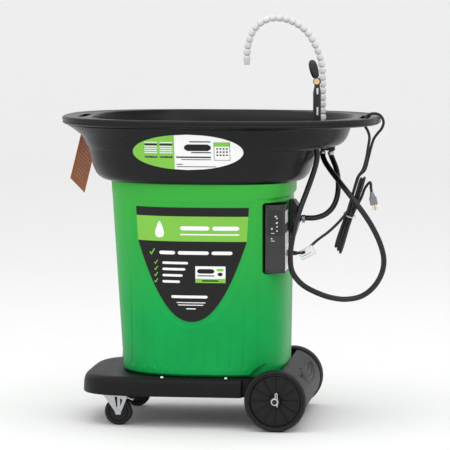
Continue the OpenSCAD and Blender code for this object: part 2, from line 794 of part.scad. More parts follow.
module pump_body() {
    color(black) translate([pump_x, pump_y, pump_z]) {
        cylinder(r = 42, h = 70);
        translate([0, 0, 70]) cylinder(r1 = 42, r2 = 18, h = 22);
        translate([0, 0, 92]) cylinder(r = 8, h = 22);
    }
}

module pump_strainer() {
    color(grey) translate([pump_x, pump_y, pump_z - 12]) difference() {
        cylinder(r = 48, h = 11.7);
        translate([0, 0, 3]) cylinder(r = 44, h = 20);
        for (i = [0:11]) rotate([0, 0, i * 30]) translate([40, -3, 3]) cube([12, 6, 6]);
    }
}

riser_r = 8;

riser_route = [[pump_x, pump_y, pump_z + 114.3], [pump_x, pump_y, 400], [pump_x, pump_y, 520],
    [92, 56, 566], [106, 38, 590], [130, 0, 594], [150, -32, 594], [166, port_y, port_z],
    [180.6, port_y, port_z]];

module pump_riser_hose() { color(black) tube(riser_route, riser_r, 3, 12); }

module heater_element() {
    color(steel) {
        for (y = [-60, -20]) rod_x(y, tank_z + 40, 5, -140, 20);
        translate([20, -40, tank_z + 40]) rotate([0, 0, -90]) rotate_extrude(angle = 180)
            translate([20, 0]) circle(r = 5);
        translate([-150, -40, tank_z + tank_t + 0.3]) translate([-8, -34, 0]) cube([18, 68, 50]);
    }
}

float_x = -150;
float_y = 90;

module float_stem() {
    color(steel) translate([float_x, float_y, tank_z + tank_t + 0.3]) {
        cylinder(r = 22, h = 6);
        cylinder(r = 5, h = 150);
        translate([0, 0, 150]) cylinder(r = 12, h = 5);
    }
}

module level_float() {
    color("white") translate([float_x, float_y, tank_z + tank_t + 8]) difference() {
        cylinder(r = 26, h = 60);
        translate([0, 0, -1]) cylinder(r = 5 + run, h = 70);
    }
}

// ---- supply port on the tank wall, and the hose clamps ----
port_x = 236;

module supply_port() {
    color(black) difference() {
        union() {
            rod_x(port_y, port_z, port_r - 0.05, 188, 210);
            rod_x(port_y, port_z, 14, 182, 197.5);
            translate([0, port_y + 26, 0]) rotate([90, 0, 0]) linear_extrude(height = 66)
                polygon([[206.3, 648], [220, 648], [233, 630], [233, 582], [224, 552],
                    [211, 516], [206.3, 508]]);
            rod_x(port_y, port_z, 11, 232, port_x);
            rod_x(port_y, port_z, 5.4, port_x - 1, port_x + 14);
        }
        rod_x(port_y, port_z, 3, 150, 300);
    }
}

module ring_band(r) {
    difference() {
        cylinder(r = r + 1.4, h = 9, center = true);
        cylinder(r = r, h = 20, center = true);
    }
    translate([r + 3, 0, 0]) cube([5, 8, 9], center = true);
}

module hose_clamps() {
    color(steel) {
        translate([port_x + 8, port_y, port_z]) rotate([0, 90, 0]) ring_band(hose_r + 0.05);
        for (x = [spout_x, supply_x]) translate([x, spout_y, barb_z + 8])
            rotate([0, 0, 90]) ring_band(hose_r + 0.05);
    }
}

// ---- rust-coloured card on its tie, under the left end of the rim ----
tag_top = [-431, 150, 850];
tag_turn = 72;        // direction of the card's plane, from +X
tag_lean = 29;        // the card hangs by a corner
tag_w = 104;
tag_h = 188;

module hang_tag() {
    color(rust) translate(tag_top) rotate([0, 0, tag_turn]) {
        rotate([90, 0, 0]) rotate([0, 0, -tag_lean]) difference() {
            translate([-8, -tag_h + 8, -0.4]) cube([tag_w, tag_h, 0.8]);
            cylinder(r = 2.5, h = 10, center = true);
        }
        translate([0, 0, 5.5]) rotate([0, 90, 0]) rotate_extrude() translate([6.4, 0])
            circle(r = 0.8, $fn = 13);
    }
}

// ---- free cords: their routes and what is on them ----
cord_r = 4;
supply_route = [[236.3, -40, 594], [254, -40, 594], [280, -38, 595], [306, -34, 604], [326, -26, 622],
    [338, -16, 648], [342, -4, 678], [340, 10, 706], [334, 24, 732], [322, 36, 754],
    [316, 40, 770], [316, 40, 784]];
brush_route = [[287, -90, 884], [287, -90, 842], [287, -90, 798], [288, -90, 782], [286, -92, 762],
    [275, -98, 722], [260, -108, 678], [245, -122, 636], [232, -136, 594], [222, -150, 542],
    [217, -157, 490], [223, -157, 448], [250, -150, 412], [290, -140, 388], [334, -130, 372],
    [377, -122, 367], [420, -116, 376], [454, -112, 402], [477, -108, 441], [483, -104, 480],
    [473, -102, 524], [445, -100, 582], [399, -92, 646], [352, -62, 700], [319, -14, 736],
    [296, 32, 758], [292, 40, 770], [292, 40, 784]];
// A place on the hank: s up its length from the lower end, t across it
function on_hank(s, t, y) = [345 + 0.282 * s + 0.96 * t, y, 488 + 0.96 * s - 0.282 * t];
// The lead from its gland to the hank, from the hank round the rim and back, and to the plug
lead_in = [[210, -120, 499], [236, -120, 499], [248, -118, 502], [260, -116, 509], [274, -113, 521],
    [286, -107, 532], [300, -98, 543], [318, -86, 556], [337, -72, 573], [356, -62, 593],
    on_hank(130, -8, -57)];
rim_loop = [on_hank(255, 1, -54), [427, -53, 770], [433, -52, 806], [437, -52, 836], [432, -52, 855],
    [420.5, -51, 872], [423.2, -47, 886], [433, -41, 896.2], [447, -35, 899.5], [461, -29, 896.2],
    [470.8, -23, 886], [474.5, -19, 872], [469, -17, 855], [457, -21, 840], [447, -28, 825],
    [440, -34, 803], [432, -37, 770], on_hank(255, 6, -38)];
plug_at = [444, -69, 674];
lead_out = [on_hank(214, 24, -63), [440.6, -69, 690], plug_at];

// One smooth curve through the points of a route
function along(p, i, t) = let (n = len(p), a = p[max(i - 1, 0)], b = p[i], c = p[i + 1],
    d = p[min(i + 2, n - 1)]) 0.5 * ((2 * b) + (c - a) * t + (2 * a - 5 * b + 4 * c - d) * t * t
    + (3 * b - a - 3 * c + d) * t * t * t);
function unit(v) = v / norm(v);
// Rings round a route, square to it, and the tube that they make
module tube(route, r, steps, sides) {
    pts = concat([for (i = [0:len(route) - 2], s = [0:steps - 1]) along(route, i, s / steps)],
        [route[len(route) - 1]]);
    n = len(pts);
    dirs = [for (i = [0:n - 1]) unit(pts[min(i + 1, n - 1)] - pts[max(i - 1, 0)])];
    polyhedron(
        points = [for (i = [0:n - 1]) let (u = unit(cross(dirs[i], [0.3, 1, 0.2])),
            v = cross(dirs[i], u)) for (k = [0:sides - 1])
            pts[i] + r * (u * cos(k * 360 / sides) + v * sin(k * 360 / sides))],
        faces = concat([[for (k = [0:sides - 1]) k]],
            [for (i = [0:n - 2], k = [0:sides - 1]) let (m = (k + 1) % sides)
                [i * sides + k, (i + 1) * sides + k, (i + 1) * sides + m, i * sides + m]],
            [[for (k = [sides - 1:-1:0]) (n - 1) * sides + k]]));
}

module supply_hose() { color(black) tube(supply_route, hose_r, 2, 8); }
module brush_hose() { color(black) tube(brush_route, hose_r, 1, 8); }
module power_cord() {
    color(black) for (route = [lead_in, rim_loop, lead_out]) tube(route, cord_r, 1, 8);
}

// Hank: a slim bundle of folded runs that swells at the bights of both ends
module hank_part(outline_st, y0, y1) {
    translate([0, y1, 0]) rotate([90, 0, 0]) linear_extrude(height = y1 - y0)
        polygon([for (q = outline_st) let (p = on_hank(q[0], q[1], 0)) [p[0], p[2]]]);
}

module cord_hank() {
    color(black) {
        hank_part([[17, -17], [8, 1], [8, 11], [20, 12], [75, 12], [75, -16], [30, -18]], -71, -13);
        hank_part([[74, -16], [74, 12], [125, 12], [176, 20], [176, -10], [125, -13]], -64, -22);
        hank_part([[175, -10], [175, 20], [205, 25], [231, 26], [236, 14], [236, -9]], -73, -13);
        hank_part([[235, -8], [235, 14], [258, 10], [258, -4]], -59, -32);
    }
}
// Wire tie round the hank
module cord_tie() {
    color("white") translate(on_hank(121, -0.5, -46)) rotate([12, 20, 0])
        rotate_extrude() translate([18, 0]) circle(r = 1.3);
}
module plug_body() {
    color(grey) translate(plug_at) rotate([0, 168, 0]) {
        cylinder(r1 = 4.8, r2 = 9, h = 16);
        translate([-10.5, -8.5, 16]) cube([21, 17, 22]);
    }
}
module plug_blades() {
    color([0.8, 0.7, 0.4]) translate(plug_at) rotate([0, 168, 0]) {
        for (s = [-1, 1]) translate([s * 6.3 - 0.75, -3.2, 38.1]) cube([1.5, 6.4, 15]);
        translate([0, 5.6, 38.1]) cylinder(r = 2.4, h = 17);
    }
}
// Label folded over the lead
module cord_tag() {
    color("white") translate([262, -120.6, 501]) rotate([0, -27, 0])
        translate([-23, 0, -14]) cube([46, 1, 28.5]);
}

dolly_base();
rear_axle();
axle_spacers();
wheel_retainers();
caster_plates();
tank_shell();
tank_rivets();
drain_plug();
sink_basin();
sink_label();
tank_label();
false_bottom();
filter_mat();
mat_support_grid();
hose_manifold();
brush_grommet();
supply_port();
hose_clamps();
control_box_case();
control_box_cover();
cover_gasket();
cover_screws();
keypad_panel();
status_lights();
power_button();
mode_button();
circuit_board();
cord_gland();
pump_body();
pump_strainer();
pump_riser_hose();
heater_element();
float_stem();
level_float();
near_wheel_tyre();
near_wheel_hub();
far_wheel_tyre();
far_wheel_hub();
near_caster_fork();
near_caster_wheel();
near_caster_brake();
far_caster_fork();
far_caster_wheel();
nozzle_base();
nozzle_lower();
nozzle_middle();
nozzle_upper();
nozzle_tip();
brush_handle();
brush_nut();
brush_head();
hang_tag();
supply_hose();
brush_hose();
power_cord();
cord_hank();
cord_tie();
plug_body();
plug_blades();
cord_tag();
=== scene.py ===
"""Looks of the parts washer tank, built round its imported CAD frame.

Lengths are written in millimetres in the row frame (origin on the floor under the middle of
the sink's rim, -Y to the front, +Z up) and turned into metres where a mesh is made.
"""

import math

import bpy
import numpy as np
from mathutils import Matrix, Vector


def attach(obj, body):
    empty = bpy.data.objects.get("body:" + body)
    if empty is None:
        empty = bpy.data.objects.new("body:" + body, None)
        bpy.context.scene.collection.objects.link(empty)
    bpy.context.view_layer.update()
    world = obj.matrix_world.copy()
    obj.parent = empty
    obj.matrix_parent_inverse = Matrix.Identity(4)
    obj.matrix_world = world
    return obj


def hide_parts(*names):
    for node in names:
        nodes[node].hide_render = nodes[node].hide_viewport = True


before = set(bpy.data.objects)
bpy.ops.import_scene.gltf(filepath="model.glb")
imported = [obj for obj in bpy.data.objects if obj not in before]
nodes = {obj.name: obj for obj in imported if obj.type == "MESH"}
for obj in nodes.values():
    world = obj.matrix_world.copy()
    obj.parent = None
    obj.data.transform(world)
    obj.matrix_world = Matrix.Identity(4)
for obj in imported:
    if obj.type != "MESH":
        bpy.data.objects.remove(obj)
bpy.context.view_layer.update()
MM = 0.001


def link(o):
    """Puts o into the scene."""
    bpy.context.scene.collection.objects.link(o)
    return o


# ---------------------------------------------------------------- camera
lens = bpy.data.cameras.new("camera")
lens.lens = 252.9
lens.sensor_width = 36.0
camera = link(bpy.data.objects.new("camera", lens))
camera.location = (1.1023, -9.1667, 1.4216)
sight = Vector((0.009, 0.0, 0.567)) - camera.location
camera.rotation_euler = sight.to_track_quat("-Z", "Y").to_euler()
bpy.context.scene.camera = camera


# ---------------------------------------------------------------- cords
def centripetal(points, per=8):
    """A smooth curve through given points."""
    p = [Vector(q) for q in points]
    p = [2 * p[0] - p[1]] + p + [2 * p[-1] - p[-2]]
    out = []
    for i in range(1, len(p) - 2):
        a, b, c, d = p[i - 1 : i + 3]
        t0 = 0.0
        t1 = t0 + max((b - a).length, 1e-6) ** 0.5
        t2 = t1 + max((c - b).length, 1e-6) ** 0.5
        t3 = t2 + max((d - c).length, 1e-6) ** 0.5
        for s in range(per):
            t = t1 + (t2 - t1) * s / per
            a1 = a * ((t1 - t) / (t1 - t0)) + b * ((t - t0) / (t1 - t0))
            a2 = b * ((t2 - t) / (t2 - t1)) + c * ((t - t1) / (t2 - t1))
            a3 = c * ((t3 - t) / (t3 - t2)) + d * ((t - t2) / (t3 - t2))
            b1 = a1 * ((t2 - t) / (t2 - t0)) + a2 * ((t - t0) / (t2 - t0))
            b2 = a2 * ((t3 - t) / (t3 - t1)) + a3 * ((t - t1) / (t3 - t1))
            out.append(b1 * ((t2 - t) / (t2 - t1)) + b2 * ((t - t1) / (t2 - t1)))
    return out + [p[-2]]


def curve_tube(name, points, diameter, body="washer"):
    """A round tube along a smooth curve through points in mm."""
    data = bpy.data.curves.new(name, "CURVE")
    data.dimensions = "3D"
    data.bevel_depth = diameter / 2 * MM
    data.bevel_resolution = 5
    data.use_fill_caps = True
    path = centripetal(points)
    line = data.splines.new("POLY")
    line.points.add(len(path) - 1)
    for q, v in zip(line.points, path):
        q.co = (v.x * MM, v.y * MM, v.z * MM, 1.0)
    line.use_smooth = True
    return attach(link(bpy.data.objects.new(name, data)), body)


supply_route = [
    (236.3, -40, 594), (254, -40, 594), (280, -38, 595), (306, -34, 604), (326, -26, 622),
    (338, -16, 648), (342, -4, 678), (340, 10, 706), (334, 24, 733), (323.5, 36, 757),
    (317, 40, 773), (316, 40, 784),
]
brush_route = [
    (292, 40, 784), (292, 38.5, 776), (298, 27, 759), (319, -14, 734), (352, -62, 700),
    (399, -92, 646), (445, -100, 582), (473, -102, 524), (483, -104, 480), (477, -108, 441),
    (454, -112, 402), (420, -116, 376), (377, -122, 367), (334, -130, 372), (290, -140, 388),
    (250, -150, 412), (223, -157, 448), (217, -157, 490), (222, -150, 542), (232, -136, 594),
    (245, -122, 636), (260, -108, 678), (275, -98, 722), (286, -92, 762), (288, -90, 782),
    (287, -90, 798), (287, -90, 842), (287, -90, 884),
]


HANK_Y = -42
BIGHT_RADIUS = 24


def hank(s, t, y):
    """A point on the hank: s up its length from the lower end, t across, both in mm."""
    return (345 + 0.282 * s + 0.960 * t, y, 488 + 0.960 * s - 0.282 * t)


def bight(s, t0, t1, y, way):
    """A half turn of the lead at an end of the hank, from y to the other side of its middle."""
    turn = [math.pi * k / 6 for k in range(7)]
    return [hank(s + way * BIGHT_RADIUS * math.sin(a), t0 + (t1 - t0) * a / math.pi,
                 HANK_Y + (y - HANK_Y) * math.cos(a)) for a in turn]


# the lead: from its gland to the hank, up over the rim and back, down, round the folds of the
# hank, and out at the top to the plug
lead_route = [
    (210, -120, 499), (236, -120, 499), (248, -118, 502), (260, -116, 509), (274, -113, 521),
    (286, -107, 532), (300, -98, 543), (318, -88, 556), (337, -77, 573), (356, -69, 593),
    hank(135, -8, -63), hank(175, -8, -60), hank(215, -9, -57), hank(236, -8, -56),
    hank(258, -1, -54), (427, -53, 770), (433, -52, 806), (436, -52, 832), (431, -52, 850),
    (423.5, -51.5, 863), (421, -49.5, 875), (424, -46, 887), (433, -41, 896.2), (447, -35, 899.5),
    (461, -29, 896.2), (470.8, -23, 886), (474.5, -19, 872), (469, -17, 855), (457, -21, 840),
    (447, -28, 825),
    (440, -34, 803), (432, -37, 770), hank(258, 4, -38),
    hank(238, -7, -38), hank(215, -8.5, -38), hank(170, -9, -41),
    hank(125, -9, -50), hank(90, -11, -57), hank(65, -12, -64),
] + bight(45, -12.5, -12.5, -66, -1) + [
    hank(65, -12, -20), hank(90, -11, -31), hank(125, -9, -40.5), hank(150, -5, -30), hank(180, 0, -22),
] + bight(208, 1, 2, -18, 1) + [
    hank(180, 2, -64), hank(150, 1, -60), hank(125, -0.5, -55.5), hank(90, -3, -58), hank(62, -3.5, -64),
] + bight(38, -3.5, -3.5, -66, -1) + [
    hank(62, -3.5, -20), hank(90, -3, -30), hank(125, -0.5, -35), hank(150, 4, -28), hank(180, 8, -21),
] + bight(213, 9.5, 10.5, -18, 1) + [
    hank(180, 10.5, -64), hank(150, 10, -57), hank(125, 8, -50.5), hank(90, 5.5, -58), hank(60, 5, -64),
] + bight(32, 5, 5, -66, -1) + [
    hank(60, 5, -20), hank(90, 5.5, -30), hank(125, 8, -40.5), hank(150, 12, -34), hank(180, 17, -24),
] + bight(205, 18.5, 41, -18, 1)[:-1] + [(444, -69, 674)]
# each cord's route, its diameter in mm and its length in m
cords = {
    "supply_hose_tube": (supply_route, 16, 0.284),
    "brush_hose_tube": (brush_route, 16, 1.23),
    "power_lead": (lead_route, 8, 2.3),
}
tubes = {}
for name, (route, diameter, _) in cords.items():
    tubes[name] = curve_tube(name, route, diameter)


# ---------------------------------------------------------------- materials
def shader(name, color, rough, scale=260.0, grain=0.12, bump=0.05, edge=0.0, vary=0.10, metal=0.0,
           spec=0.5, painted_light_tint=None, sheen=0.0):
    """A surface with a cloudy tone, uneven gloss and fine grain, all computed from position.
    edge is the radius in mm that corners are seen to have. tint gives (color, low z, high z): that colour is
    blended in from low z up to high z, painted light that makes the upper part look lit."""
    m = bpy.data.materials.new(name)
    m.use_nodes = True
    t = m.node_tree
    t.nodes.clear()
    out = t.nodes.new("ShaderNodeOutputMaterial")
    b = t.nodes.new("ShaderNodeBsdfPrincipled")
    t.links.new(b.outputs[0], out.inputs[0])
    b.inputs["Metallic"].default_value = metal
    b.inputs["Specular IOR Level"].default_value = spec
    b.inputs["Sheen Weight"].default_value = sheen
    place = t.nodes.new("ShaderNodeTexCoord").outputs["Object"]

    def noise(size, detail):
        n = t.nodes.new("ShaderNodeTexNoise")
        n.inputs["Scale"].default_value = size
        n.inputs["Detail"].default_value = detail
        n.inputs["Roughness"].default_value = 0.55
        t.links.new(place, n.inputs["Vector"])
        return n.outputs["Fac"]

    def ramp(value, low, high, to_low, to_high):
        r = t.nodes.new("ShaderNodeMapRange")
        for socket, v in zip(("From Min", "From Max", "To Min", "To Max"), (low, high, to_low, to_high)):
            r.inputs[socket].default_value = v
        t.links.new(value, r.inputs["Value"])
        return r.outputs[0]

    def mix(fac, a, c):
        x = t.nodes.new("ShaderNodeMix")
        x.data_type = "RGBA"
        t.links.new(fac, x.inputs["Factor"])
        for socket, v in (("A", a), ("B", c)):
            plug = [i for i in x.inputs if i.name == socket and i.type == "RGBA"][0]
            if isinstance(v, bpy.types.NodeSocket):
                t.links.new(v, plug)
            else:
                plug.default_value = (*v[:3], 1.0)
        return [o for o in x.outputs if o.type == "RGBA"][0]

    low = [c * (1 - vary) for c in color]
    high = [min(1.0, c * (1 + vary)) for c in color]
    tone = mix(ramp(noise(9.0, 3.0), 0.35, 0.65, 0.0, 1.0), low, high)
    # painted light: the colour turns towards a lighter tint going up, standing in for a lit upper part
    if painted_light_tint:
        z = t.nodes.new("ShaderNodeSeparateXYZ")
        t.links.new(place, z.inputs[0])
        tone = mix(ramp(z.outputs["Z"], painted_light_tint[1], painted_light_tint[2], 0.0, 1.0), tone, painted_light_tint[0])
    t.links.new(tone, b.inputs["Base Color"])
    t.links.new(ramp(noise(scale * 0.4, 4.0), 0.3, 0.7, rough - grain / 2, rough + grain / 2),
                b.inputs["Roughness"])
    bumps = t.nodes.new("ShaderNodeBump")
    bumps.inputs["Strength"].default_value = bump
    bumps.inputs["Distance"].default_value = 0.0006
    t.links.new(noise(scale, 5.0), bumps.inputs["Height"])
    if edge:
        soft = t.nodes.new("ShaderNodeBevel")
        soft.samples = 4
        soft.inputs["Radius"].default_value = edge * MM
        t.links.new(soft.outputs[0], bumps.inputs["Normal"])
    t.links.new(bumps.outputs[0], b.inputs["Normal"])
    return m


LIME = (0.19, 0.52, 0.045)
mats = {
    "sink": shader("sink_plastic", (0.008, 0.008, 0.009), 0.30, 500, 0.08, 0.04, edge=1.5, spec=0.19),
    "dolly": shader("dolly_plastic", (0.007, 0.007, 0.008), 0.48, 420, 0.12, 0.08, edge=1.2, spec=0.17),
    # the tank's tint is painted light: a lighter yellow-green blended in from 0.30 m to 0.72 m up, where the
    # tank looks lit
    "tank": shader("tank_plastic", (0.001, 0.34, 0.068), 0.42, 300, 0.10, 0.06, edge=2.0, vary=0.05,
                   spec=0.15, painted_light_tint=((0.045, 0.41, 0.046), 0.30, 0.72)),
    "black": shader("black_plastic", (0.010, 0.010, 0.011), 0.42, 500, 0.12, 0.10, edge=0.8, spec=0.35),
    "grey": shader("grey_plastic", (0.030, 0.030, 0.032), 0.42, 500, 0.10, 0.10, edge=2.2, spec=0.4),
    "pad_grey": shader("keypad_film", (0.016, 0.016, 0.017), 0.33, 300, 0.06, 0.03, spec=0.4),
    "tyre": shader("tyre_rubber", (0.010, 0.010, 0.010), 0.55, 380, 0.16, 0.25, edge=1.0, spec=0.3),
    "wheel": shader("wheel_plastic", (0.008, 0.008, 0.009), 0.40, 420, 0.14, 0.15, edge=0.9, spec=0.25),
    "zinc": shader("zinc_plate", (0.50, 0.51, 0.53), 0.30, 600, 0.16, 0.06, edge=0.5, metal=1.0),
    "bright": shader("bright_steel", (0.80, 0.81, 0.83), 0.16, 600, 0.08, 0.03, edge=0.3, metal=1.0),
    "bead": shader("bead_plastic", (0.66, 0.67, 0.67), 0.35, 300, 0.10, 0.05, edge=0.6, vary=0.06),
    "hose": shader("hose_rubber", (0.009, 0.009, 0.010), 0.28, 500, 0.10, 0.05, spec=0.4),
    "lead": shader("lead_jacket", (0.010, 0.010, 0.011), 0.38, 500, 0.10, 0.06, spec=0.4),
    "white": shader("white_film", (0.86, 0.87, 0.86), 0.34, 300, 0.06, 0.02, vary=0.02),
    "white_part": shader("white_plastic", (0.80, 0.80, 0.79), 0.36, 300, 0.08, 0.05, edge=0.4, vary=0.03),
    "lime": shader("lime_film", LIME, 0.34, 300, 0.06, 0.02, vary=0.03),
    "ink": shader("black_film", (0.012, 0.011, 0.011), 0.34, 300, 0.06, 0.02, vary=0.03, spec=0.2),
    "brass": shader("turned_brass", (0.83, 0.62, 0.34), 0.24, 600, 0.10, 0.05, edge=0.4, metal=1.0),
    "felt": shader("filter_felt", (0.62, 0.62, 0.60), 0.9, 900, 0.10, 0.8, sheen=0.3),
    "board": shader("solder_mask", (0.02, 0.18, 0.08), 0.3, 300, 0.08, 0.03, edge=0.2),
    "card": shader("printed_card", (0.80, 0.17, 0.055), 0.55, 260, 0.10, 0.04, vary=0.10),
    "card_line": shader("card_print", (0.86, 0.36, 0.20), 0.55, 260, 0.10, 0.04, vary=0.06),
    "plug": shader("plug_moulding", (0.20, 0.20, 0.21), 0.3, 400, 0.08, 0.05, edge=0.6),
    "grip": shader("grip_rubber", (0.011, 0.011, 0.012), 0.36, 420, 0.14, 0.10, edge=0.5),
    "tie": shader("tie_plastic", (0.75, 0.75, 0.74), 0.34, 300, 0.08, 0.03, edge=0.2),
}


def paint(o, key):
    """Gives o one of the materials."""
    o.data.materials.clear()
    o.data.materials.append(mats[key])
    return o


def piece(o, key, body="washer", replaces=()):
    """Paints a piece, lets it ride on its body and hides the CAD nodes it stands for."""
    paint(o, key)
    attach(o, body)
    if replaces:
        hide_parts(*replaces)
    return o


CAD_LOOK = {
    "rear_axle": "black", "axle_spacers": "white_part", "wheel_retainers": "bright", "caster_plates": "zinc",
    "tank_rivets": "white_part", "drain_plug": "black", "false_bottom": "sink", "filter_mat": "felt",
    "mat_support_grid": "grey", "hose_manifold": "black", "brush_grommet": "grip", "supply_port": "black",
    "hose_clamps": "zinc", "control_box_case": "black", "control_box_cover": "grey",
    "cover_gasket": "black", "cover_screws": "black", "keypad_panel": "pad_grey",
    "status_lights": "white_part", "power_button": "grip", "mode_button": "grip",
    "circuit_board": "board", "cord_gland": "black", "pump_body": "black", "pump_strainer": "grey",
    "pump_riser_hose": "hose", "heater_element": "bright", "float_stem": "bright",
    "level_float": "white_part", "near_wheel_tyre": "tyre", "near_wheel_hub": "wheel",
    "far_wheel_tyre": "tyre", "far_wheel_hub": "wheel", "near_caster_fork": "zinc",
    "near_caster_wheel": "wheel", "near_caster_brake": "zinc", "far_caster_fork": "zinc",
    "far_caster_wheel": "wheel", "nozzle_base": "bead", "nozzle_lower": "bead", "nozzle_middle": "bead",
    "nozzle_upper": "bead", "nozzle_tip": "bead", "brush_handle": "grip", "brush_nut": "brass",
    "brush_head": "grip", "dolly_base": "dolly", "plug_body": "plug", "plug_blades": "brass",
    "hang_tag": "card", "cord_tie": "tie", "cord_tag": "white",
}
for name, key in CAD_LOOK.items():
    paint(nodes[name], key)


# ---------------------------------------------------------------- meshes
def mesh_object(name, verts, faces, angle=35.0):
    """A mesh from points in mm, shaded smooth except across corners sharper than angle."""
    data = bpy.data.meshes.new(name)
    data.from_pydata([(x * MM, y * MM, z * MM) for x, y, z in verts], [], faces)
    data.validate()
    data.update()
    o = link(bpy.data.objects.new(name, data))
    soften(o, angle)
    return o


def soften(o, angle=35.0):
    """Shades o smooth except across corners sharper than angle, in degrees."""
    data = o.data
    data.polygons.foreach_set("use_smooth", [True] * len(data.polygons))
    normals = {}
    for p in data.polygons:
        for k in p.edge_keys:
            normals.setdefault(k, []).append(p.normal)
    limit = math.cos(math.radians(angle))
    for e in data.edges:
        n = normals.get(tuple(sorted(e.vertices)), [])
        e.use_edge_sharp = len(n) == 2 and n[0].dot(n[1]) < limit
    data.update()


def signed_power(v, e):
    """v to the power e, with the sign of v kept."""
    return np.sign(v) * np.abs(v) ** e


def outline(level, count):
    """Points of a moulded outline, evenly spaced. level is (z, left, right, half width, square
    left, square right, x of the widest place)."""
    z, x0, x1, hy, nl, nr, mid = level
    t = np.linspace(-math.pi, math.pi, 4001)
    left = np.cos(t) < 0
    n = np.where(left, nl, nr)
    a = np.where(left, mid - x0, x1 - mid)
    x = mid + a * signed_power(np.cos(t), 2 / n)
    y = hy * signed_power(np.sin(t), 2 / n)
    step = np.concatenate([[0], np.cumsum(np.hypot(np.diff(x), np.diff(y)))])
    s = np.linspace(0, step[-1], count + 1)[:-1]
    return np.stack([np.interp(s, step, x), np.interp(s, step, y), np.full(count, z)], 1)


def outward(ring):
    """Unit normals of a flat ring."""
    d = np.roll(ring, -1, 0) - np.roll(ring, 1, 0)
    n = np.stack([d[:, 1], -d[:, 0], np.zeros(len(ring))], 1)
    return n / np.linalg.norm(n, axis=1)[:, None]


def refine(levels, step):
    """More levels between the given ones, on a smooth curve through them."""
    v = [np.array(q, float) for q in levels]
    out = []
    for i in range(len(v) - 1):
        a, b, c, d = v[max(i - 1, 0)], v[i], v[i + 1], v[min(i + 2, len(v) - 1)]
        k = max(1, int(round(np.linalg.norm((c - b)[:4]) / step)))
        for s in range(k):
            t = s / k
            out.append(0.5 * ((2 * b) + (c - a) * t + (2 * a - 5 * b + 4 * c - d) * t * t
                              + (3 * b - a - 3 * c + d) * t ** 3))
    return out + [v[-1]]


def skin(name, rings):
    """A closed mesh through rings of points, capped at both ends."""
    n = len(rings[0])
    verts = [tuple(p) for r in rings for p in r]
    faces = [(j * n + i, j * n + (i + 1) % n, (j + 1) * n + (i + 1) % n, (j + 1) * n + i)
             for j in range(len(rings) - 1) for i in range(n)]
    faces.append(tuple(range(n - 1, -1, -1)))
    faces.append(tuple((len(rings) - 1) * n + i for i in range(n)))
    return mesh_object(name, verts, faces)


def cutter(name, lo, hi, radius, segments=4):
    """A box with rounded edges, in mm."""
    data = bpy.data.meshes.new(name)
    x0, y0, z0 = (v * MM for v in lo)
    x1, y1, z1 = (v * MM for v in hi)
    data.from_pydata(
        [(x, y, z) for z in (z0, z1) for y in (y0, y1) for x in (x0, x1)], [],
        [(0, 2, 3, 1), (4, 5, 7, 6), (0, 1, 5, 4), (2, 6, 7, 3), (0, 4, 6, 2), (1, 3, 7, 5)])
    o = link(bpy.data.objects.new(name, data))
    if radius:
        b = o.modifiers.new("round", "BEVEL")
        b.width = radius * MM
        b.segments = segments
        b.limit_method = "NONE"
    return o


def rod(name, centre, radius, lo, hi, axis, count=96):
    """A cylinder along an axis, in mm, from lo to hi."""
    u, v = [i for i in range(3) if i != axis]
    verts = []
    for w in (lo, hi):
        for i in range(count):
            p = [0.0, 0.0, 0.0]
            p[axis] = w
            p[u] = centre[0] + radius * math.cos(2 * math.pi * i / count)
            p[v] = centre[1] + radius * math.sin(2 * math.pi * i / count)
            verts.append(tuple(p))
    faces = [(i, (i + 1) % count, count + (i + 1) % count, count + i) for i in range(count)]
    faces += [tuple(range(count - 1, -1, -1)), tuple(range(count, 2 * count))]
    if axis == 1:
        faces = [f[::-1] for f in faces]
    return mesh_object(name, verts, faces)


def carve(o, *tools):
    """Takes the tools out of o for good."""
    for tool in tools:
        m = o.modifiers.new("cut", "BOOLEAN")
        m.operation = "DIFFERENCE"
        m.solver = "EXACT"
        m.object = tool
    settle(o)
    for tool in tools:
        bpy.data.objects.remove(tool)
    return o


def settle(o):
    """Makes o's modifiers part of its mesh."""
    bpy.context.view_layer.update()
    graph = bpy.context.evaluated_depsgraph_get()
    data = bpy.data.meshes.new_from_object(o.evaluated_get(graph))
    o.modifiers.clear()
    o.data = data
    soften(o)
    return o


def patch(strips, surface, nx, nz):
    """Points and faces of thin marks that follow a surface. Each strip is (z0, z1, span, lift):
    span(z) gives the x range at that height."""
    verts, faces = [], []
    for z0, z1, span, lift in strips:
        first = len(verts)
        for j in range(nz + 1):
            z = z0 + (z1 - z0) * j / nz
            a, b = span(z)
            for i in range(nx + 1):
                verts.append(surface(a + (b - a) * i / nx, z, lift))
        for j in range(nz):
            for i in range(nx):
                k = first + j * (nx + 1) + i
                faces.append((k, k + 1, k + nx + 2, k + nx + 1))
    return verts, faces


def bar(x0, x1, z0, z1, lift, rounded=True):
    """A plain bar, with round ends unless rounded is off, as a strip for patch()."""
    r, mid = (z1 - z0) / 2, (z0 + z1) / 2

    def span(z):
        inset = r - math.sqrt(max(0.0, r * r - (z - mid) ** 2)) if rounded else 0.0
        return x0 + inset, x1 - inset

    return z0, z1, span, lift


def marks(name, key, strips, surface, nx=12, nz=8, body="washer", replaces=()):
    """One thin piece made of all the strips, split nx by nz in each."""
    o = mesh_object(name, *patch(strips, surface, nx, nz), 60.0)
    return piece(o, key, body, replaces)


# ---------------------------------------------------------------- sink
SLOT_WIDTH, SLOT_LENGTH = 28, 150
SLOT_PLACES = (-404, 420)
SPOUT_HOLE, BRUSH_HOLE = (292, 40), (287, -90)
DRAIN_HOLE = (-60, 0)
MID = -51  # x of the bowl's widest place


def with_shape(z, x0, x1, hy, nr=2.6, mid=MID):
    """A level of the sink for outline()."""
    return (z, x0, x1, hy, 2.6, nr, mid)


